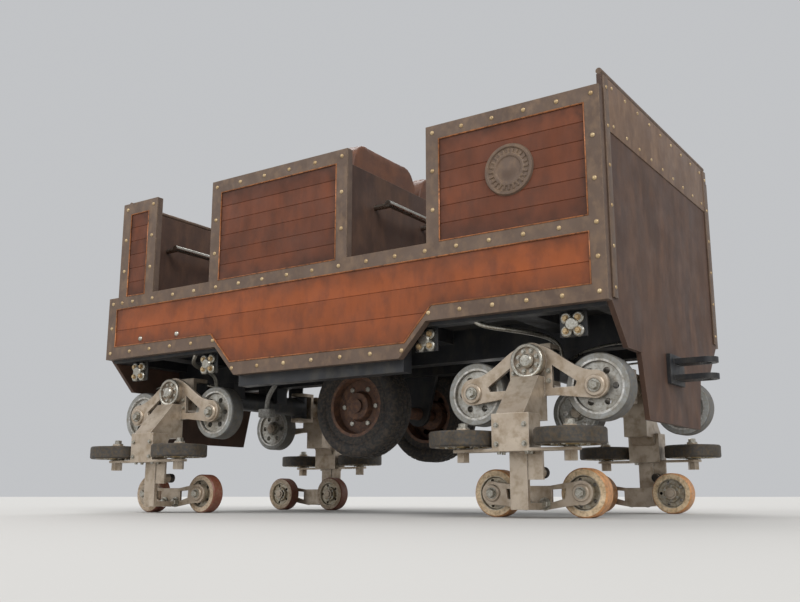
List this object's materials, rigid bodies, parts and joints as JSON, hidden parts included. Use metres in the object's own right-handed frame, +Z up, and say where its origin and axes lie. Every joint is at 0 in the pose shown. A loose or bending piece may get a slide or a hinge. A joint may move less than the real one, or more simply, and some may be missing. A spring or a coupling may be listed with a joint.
{
  "type": "roller coaster car",
  "caption": "Open roller coaster car with two rows of seats, riveted panel sides and bogies of road, guide and up-stop wheels for a track of two pipes.",
  "frame": {"origin": "middle of the overall box on the floor under the up-stop wheels", "axes": "+X to the front of the car, +Y to its left side, +Z up"},
  "size_m": [3.0598, 1.67, 1.706],
  "materials": {
    "copper_panel": "weathered copper-coloured paint on sheet panels",
    "bronze_strip": "dark bronze paint on riveted strips",
    "brown_panel": "dark brown weathered paint",
    "black_paint": "black chassis paint with dust",
    "floor_plate": "dark painted chequer plate",
    "polished_tube": "polished tube",
    "seat_leather": "brown upholstery with piping",
    "bar_paint": "black paint, worn bright at the edges",
    "bogie_steel": "grey cast and plate steel with grease",
    "road_wheel": "cast wheel with a dark running tread",
    "guide_wheel": "greasy metal disc with a dark running tread",
    "upstop_wheel": "cast wheel with an orange running tread",
    "rim_steel": "painted steel rim and shaft",
    "tyre_rubber": "dark tyre rubber"
  },
  "bodies": {
    "car_body": {"chassis_frame": "black_paint", "axle_beams": "black_paint", "drive_hangers": "black_paint", "couplers": "black_paint", "floor_pan": "floor_plate", "side_left": "copper_panel", "side_right": "copper_panel", "side_trim": "bronze_strip", "front_bulkhead": "brown_panel", "rear_bulkhead": "brown_panel", "end_rims": "bronze_strip", "row_divider": "brown_panel", "grab_rails": "polished_tube", "seat_plinths": "black_paint", "seats_front": "seat_leather", "seats_rear": "seat_leather", "lap_mounts": "black_paint"},
    "lap_bar_front": {"lap_bar_front": "bar_paint"},
    "lap_bar_rear": {"lap_bar_rear": "bar_paint"},
    "drive_axle": {"drive_axle": "rim_steel", "drive_tyres": "tyre_rubber"},
    "bogie_fl": {"bogie_fl": "bogie_steel"},
    "road_fl_a": {"road_fl_a": "road_wheel"},
    "road_fl_b": {"road_fl_b": "road_wheel"},
    "guide_fl_a": {"guide_fl_a": "guide_wheel"},
    "guide_fl_b": {"guide_fl_b": "guide_wheel"},
    "upstop_fl_a": {"upstop_fl_a": "upstop_wheel"},
    "upstop_fl_b": {"upstop_fl_b": "upstop_wheel"},
    "bogie_fr": {"bogie_fr": "bogie_steel"},
    "road_fr_a": {"road_fr_a": "road_wheel"},
    "road_fr_b": {"road_fr_b": "road_wheel"},
    "guide_fr_a": {"guide_fr_a": "guide_wheel"},
    "guide_fr_b": {"guide_fr_b": "guide_wheel"},
    "upstop_fr_a": {"upstop_fr_a": "upstop_wheel"},
    "upstop_fr_b": {"upstop_fr_b": "upstop_wheel"},
    "bogie_rl": {"bogie_rl": "bogie_steel"},
    "road_rl_a": {"road_rl_a": "road_wheel"},
    "road_rl_b": {"road_rl_b": "road_wheel"},
    "guide_rl_a": {"guide_rl_a": "guide_wheel"},
    "guide_rl_b": {"guide_rl_b": "guide_wheel"},
    "upstop_rl_a": {"upstop_rl_a": "upstop_wheel"},
    "upstop_rl_b": {"upstop_rl_b": "upstop_wheel"},
    "bogie_rr": {"bogie_rr": "bogie_steel"},
    "road_rr_a": {"road_rr_a": "road_wheel"},
    "road_rr_b": {"road_rr_b": "road_wheel"},
    "guide_rr_a": {"guide_rr_a": "guide_wheel"},
    "guide_rr_b": {"guide_rr_b": "guide_wheel"},
    "upstop_rr_a": {"upstop_rr_a": "upstop_wheel"},
    "upstop_rr_b": {"upstop_rr_b": "upstop_wheel"}
  },
  "joints": [
    {"name": "lap_bar_front_hinge", "type": "hinge", "parent": "car_body", "child": "lap_bar_front", "pos_m": [0.64, 0, 0.876], "axis": [0, 1, 0], "range_deg": [0, 50]},
    {"name": "lap_bar_rear_hinge", "type": "hinge", "parent": "car_body", "child": "lap_bar_rear", "pos_m": [-0.58, 0, 0.876], "axis": [0, 1, 0], "range_deg": [0, 50]},
    {"name": "drive_axle_spin", "type": "hinge", "parent": "car_body", "child": "drive_axle", "pos_m": [0, 0, 0.479], "axis": [0, 1, 0], "continuous": true},
    {"name": "bogie_fl_steer", "type": "hinge", "parent": "car_body", "child": "bogie_fl", "pos_m": [0.978, 0.4, 0.579], "axis": [0, 0, 1], "range_deg": [-8, 8]},
    {"name": "road_fl_a_spin", "type": "hinge", "parent": "bogie_fl", "child": "road_fl_a", "pos_m": [1.233, 0.495, 0.473], "axis": [0, 1, 0], "continuous": true},
    {"name": "road_fl_b_spin", "type": "hinge", "parent": "bogie_fl", "child": "road_fl_b", "pos_m": [0.723, 0.495, 0.473], "axis": [0, 1, 0], "continuous": true},
    {"name": "guide_fl_a_spin", "type": "hinge", "parent": "bogie_fl", "child": "guide_fl_a", "pos_m": [1.194, 0.707, 0.284], "axis": [0, 0, 1], "continuous": true},
    {"name": "guide_fl_b_spin", "type": "hinge", "parent": "bogie_fl", "child": "guide_fl_b", "pos_m": [0.762, 0.707, 0.284], "axis": [0, 0, 1], "continuous": true},
    {"name": "upstop_fl_a_spin", "type": "hinge", "parent": "bogie_fl", "child": "upstop_fl_a", "pos_m": [1.159, 0.495, 0.09], "axis": [0, 1, 0], "continuous": true},
    {"name": "upstop_fl_b_spin", "type": "hinge", "parent": "bogie_fl", "child": "upstop_fl_b", "pos_m": [0.797, 0.495, 0.09], "axis": [0, 1, 0], "continuous": true},
    {"name": "bogie_fr_steer", "type": "hinge", "parent": "car_body", "child": "bogie_fr", "pos_m": [0.978, -0.4, 0.579], "axis": [0, 0, 1], "range_deg": [-8, 8]},
    {"name": "road_fr_a_spin", "type": "hinge", "parent": "bogie_fr", "child": "road_fr_a", "pos_m": [1.233, -0.495, 0.473], "axis": [0, 1, 0], "continuous": true},
    {"name": "road_fr_b_spin", "type": "hinge", "parent": "bogie_fr", "child": "road_fr_b", "pos_m": [0.723, -0.495, 0.473], "axis": [0, 1, 0], "continuous": true},
    {"name": "guide_fr_a_spin", "type": "hinge", "parent": "bogie_fr", "child": "guide_fr_a", "pos_m": [1.194, -0.707, 0.284], "axis": [0, 0, 1], "continuous": true},
    {"name": "guide_fr_b_spin", "type": "hinge", "parent": "bogie_fr", "child": "guide_fr_b", "pos_m": [0.762, -0.707, 0.284], "axis": [0, 0, 1], "continuous": true},
    {"name": "upstop_fr_a_spin", "type": "hinge", "parent": "bogie_fr", "child": "upstop_fr_a", "pos_m": [1.159, -0.495, 0.09], "axis": [0, 1, 0], "continuous": true},
    {"name": "upstop_fr_b_spin", "type": "hinge", "parent": "bogie_fr", "child": "upstop_fr_b", "pos_m": [0.797, -0.495, 0.09], "axis": [0, 1, 0], "continuous": true},
    {"name": "bogie_rl_steer", "type": "hinge", "parent": "car_body", "child": "bogie_rl", "pos_m": [-0.978, 0.4, 0.579], "axis": [0, 0, 1], "range_deg": [-8, 8]},
    {"name": "road_rl_a_spin", "type": "hinge", "parent": "bogie_rl", "child": "road_rl_a", "pos_m": [-0.723, 0.495, 0.473], "axis": [0, 1, 0], "continuous": true},
    {"name": "road_rl_b_spin", "type": "hinge", "parent": "bogie_rl", "child": "road_rl_b", "pos_m": [-1.233, 0.495, 0.473], "axis": [0, 1, 0], "continuous": true},
    {"name": "guide_rl_a_spin", "type": "hinge", "parent": "bogie_rl", "child": "guide_rl_a", "pos_m": [-0.762, 0.707, 0.284], "axis": [0, 0, 1], "continuous": true},
    {"name": "guide_rl_b_spin", "type": "hinge", "parent": "bogie_rl", "child": "guide_rl_b", "pos_m": [-1.194, 0.707, 0.284], "axis": [0, 0, 1], "continuous": true},
    {"name": "upstop_rl_a_spin", "type": "hinge", "parent": "bogie_rl", "child": "upstop_rl_a", "pos_m": [-0.797, 0.495, 0.09], "axis": [0, 1, 0], "continuous": true},
    {"name": "upstop_rl_b_spin", "type": "hinge", "parent": "bogie_rl", "child": "upstop_rl_b", "pos_m": [-1.159, 0.495, 0.09], "axis": [0, 1, 0], "continuous": true},
    {"name": "bogie_rr_steer", "type": "hinge", "parent": "car_body", "child": "bogie_rr", "pos_m": [-0.978, -0.4, 0.579], "axis": [0, 0, 1], "range_deg": [-8, 8]},
    {"name": "road_rr_a_spin", "type": "hinge", "parent": "bogie_rr", "child": "road_rr_a", "pos_m": [-0.723, -0.495, 0.473], "axis": [0, 1, 0], "continuous": true},
    {"name": "road_rr_b_spin", "type": "hinge", "parent": "bogie_rr", "child": "road_rr_b", "pos_m": [-1.233, -0.495, 0.473], "axis": [0, 1, 0], "continuous": true},
    {"name": "guide_rr_a_spin", "type": "hinge", "parent": "bogie_rr", "child": "guide_rr_a", "pos_m": [-0.762, -0.707, 0.284], "axis": [0, 0, 1], "continuous": true},
    {"name": "guide_rr_b_spin", "type": "hinge", "parent": "bogie_rr", "child": "guide_rr_b", "pos_m": [-1.194, -0.707, 0.284], "axis": [0, 0, 1], "continuous": true},
    {"name": "upstop_rr_a_spin", "type": "hinge", "parent": "bogie_rr", "child": "upstop_rr_a", "pos_m": [-0.797, -0.495, 0.09], "axis": [0, 1, 0], "continuous": true},
    {"name": "upstop_rr_b_spin", "type": "hinge", "parent": "bogie_rr", "child": "upstop_rr_b", "pos_m": [-1.159, -0.495, 0.09], "axis": [0, 1, 0], "continuous": true}
  ]
}
